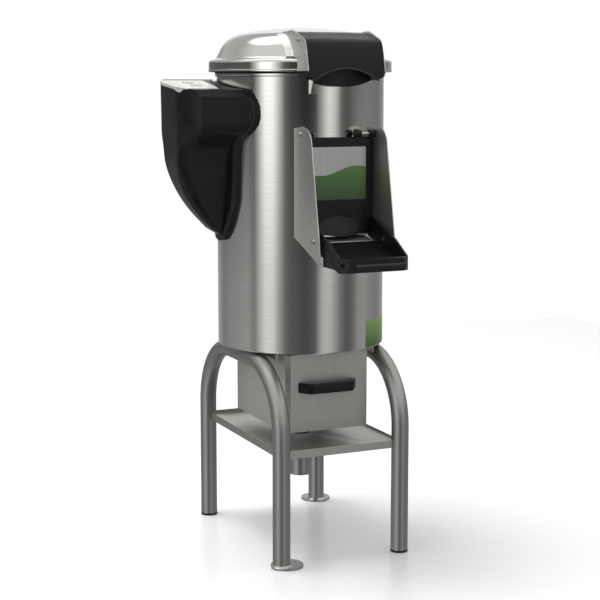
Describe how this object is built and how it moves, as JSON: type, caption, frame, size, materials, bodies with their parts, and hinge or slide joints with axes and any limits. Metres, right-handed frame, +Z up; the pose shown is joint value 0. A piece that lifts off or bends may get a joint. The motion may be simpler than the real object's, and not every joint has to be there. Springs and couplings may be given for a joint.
{
  "type": "mussel cleaning machine",
  "caption": "Floor-standing shellfish cleaner: steel drum with hinged domed lid, side control housing, front discharge door with tilting tray, filter drawer and tubular stand.",
  "frame": {"origin": "middle of the bounding box on the floor", "axes": "+Z up, -Y towards the discharge outlet at the front, -X towards the side housing with the controls"},
  "size_m": [0.5544, 0.695, 1.237],
  "materials": {
    "sheet_steel": "brushed stainless sheet and tube",
    "turned_steel": "turned and folded bright steel",
    "black_plastic": "black fine-grained moulding",
    "black_rubber": "black rubber",
    "grey_paint": "grey machine paint",
    "panel_film": "silver polyester film",
    "green_plastic": "green button",
    "red_plastic": "red button",
    "abrasive_plate": "dark rough-coated disc"
  },
  "bodies": {
    "frame": {"body_shell": "sheet_steel", "lid_gasket": "black_rubber", "lid_hinge_bracket": "turned_steel", "lid_hinge_pin": "turned_steel", "lid_catch": "sheet_steel", "side_collar": "black_plastic", "side_housing": "black_plastic", "control_panel": "panel_film", "switch_block": "black_plastic", "relay_chassis": "turned_steel", "contactor": "black_plastic", "cable_gland": "black_plastic", "outlet_frame": "black_plastic", "door_seal": "black_rubber", "door_hinge_rod": "turned_steel", "outlet_cheek_left": "sheet_steel", "outlet_cheek_right": "sheet_steel", "outlet_sill": "sheet_steel", "tray_pin_left": "turned_steel", "tray_pin_right": "turned_steel", "drawer_housing": "sheet_steel", "stand_frame_left": "sheet_steel", "stand_frame_right": "sheet_steel", "stand_shelf": "sheet_steel", "drain_pipe": "sheet_steel", "foot_plate_front_left": "sheet_steel", "foot_plate_back_right": "sheet_steel", "foot_cap_back_left": "black_rubber", "foot_cap_front_right": "black_rubber", "bowl_floor": "sheet_steel", "bearing_housing": "grey_paint", "upper_bearing": "turned_steel", "lower_bearing": "turned_steel", "shaft_seal": "black_rubber", "drive_belt": "black_rubber", "motor": "grey_paint", "base_plate": "sheet_steel", "drain_duct": "sheet_steel", "water_inlet": "turned_steel"},
    "lid": {"lid_dome": "sheet_steel", "lid_hinge_strap": "turned_steel", "lid_handle_side_left": "sheet_steel", "lid_handle_side_right": "sheet_steel", "lid_handle_cover": "black_plastic", "lid_handle_screw_left": "turned_steel", "lid_handle_screw_right": "turned_steel"},
    "door": {"discharge_door": "black_plastic"},
    "tray": {"chute_tray": "black_plastic"},
    "drawer": {"filter_drawer": "sheet_steel", "filter_screen": "sheet_steel", "drawer_handle": "black_plastic"},
    "disc": {"cleaning_disc": "abrasive_plate", "disc_nut": "turned_steel", "drive_shaft": "turned_steel", "driven_pulley": "grey_paint"},
    "motor_rotor": {"motor_shaft": "turned_steel", "motor_pulley": "turned_steel"},
    "start_button": {"start_button": "green_plastic"},
    "stop_button": {"stop_button": "red_plastic"}
  },
  "joints": [
    {"name": "lid_hinge", "type": "hinge", "parent": "frame", "child": "lid", "pos_m": [0.05785, 0.2995, 1.128], "axis": [-1, 0, 0], "range_deg": [0, 100]},
    {"name": "door_hinge", "type": "hinge", "parent": "frame", "child": "door", "pos_m": [0.05785, -0.1525, 0.993], "axis": [-1, 0, 0], "range_deg": [0, 80]},
    {"name": "tray_hinge", "type": "hinge", "parent": "frame", "child": "tray", "pos_m": [0.05785, -0.2225, 0.757], "axis": [-1, 0, 0], "range_deg": [0, 95]},
    {"name": "drawer_slide", "type": "slide", "parent": "frame", "child": "drawer", "axis": [0, -1, 0], "range_m": [0, 0.25]},
    {"name": "disc_spin", "type": "hinge", "parent": "frame", "child": "disc", "pos_m": [0.05785, 0.0595, 0.75], "axis": [0, 0, 1], "continuous": true},
    {"name": "motor_spin", "type": "hinge", "parent": "frame", "child": "motor_rotor", "pos_m": [-0.05415, 0.0595, 0.62], "axis": [0, 0, 1], "continuous": true},
    {"name": "start_press", "type": "slide", "parent": "frame", "child": "start_button", "axis": [0, 0.112, -0.9937], "range_m": [0, 0.0025], "stiffness_N_per_m": 400, "springref_m": -0.002},
    {"name": "stop_press", "type": "slide", "parent": "frame", "child": "stop_button", "axis": [0, 0.112, -0.9937], "range_m": [0, 0.0025], "stiffness_N_per_m": 400, "springref_m": -0.002}
  ],
  "couplings": [
    {"joint": "motor_spin", "follows": "disc_spin", "ratio": 3.25}
  ]
}
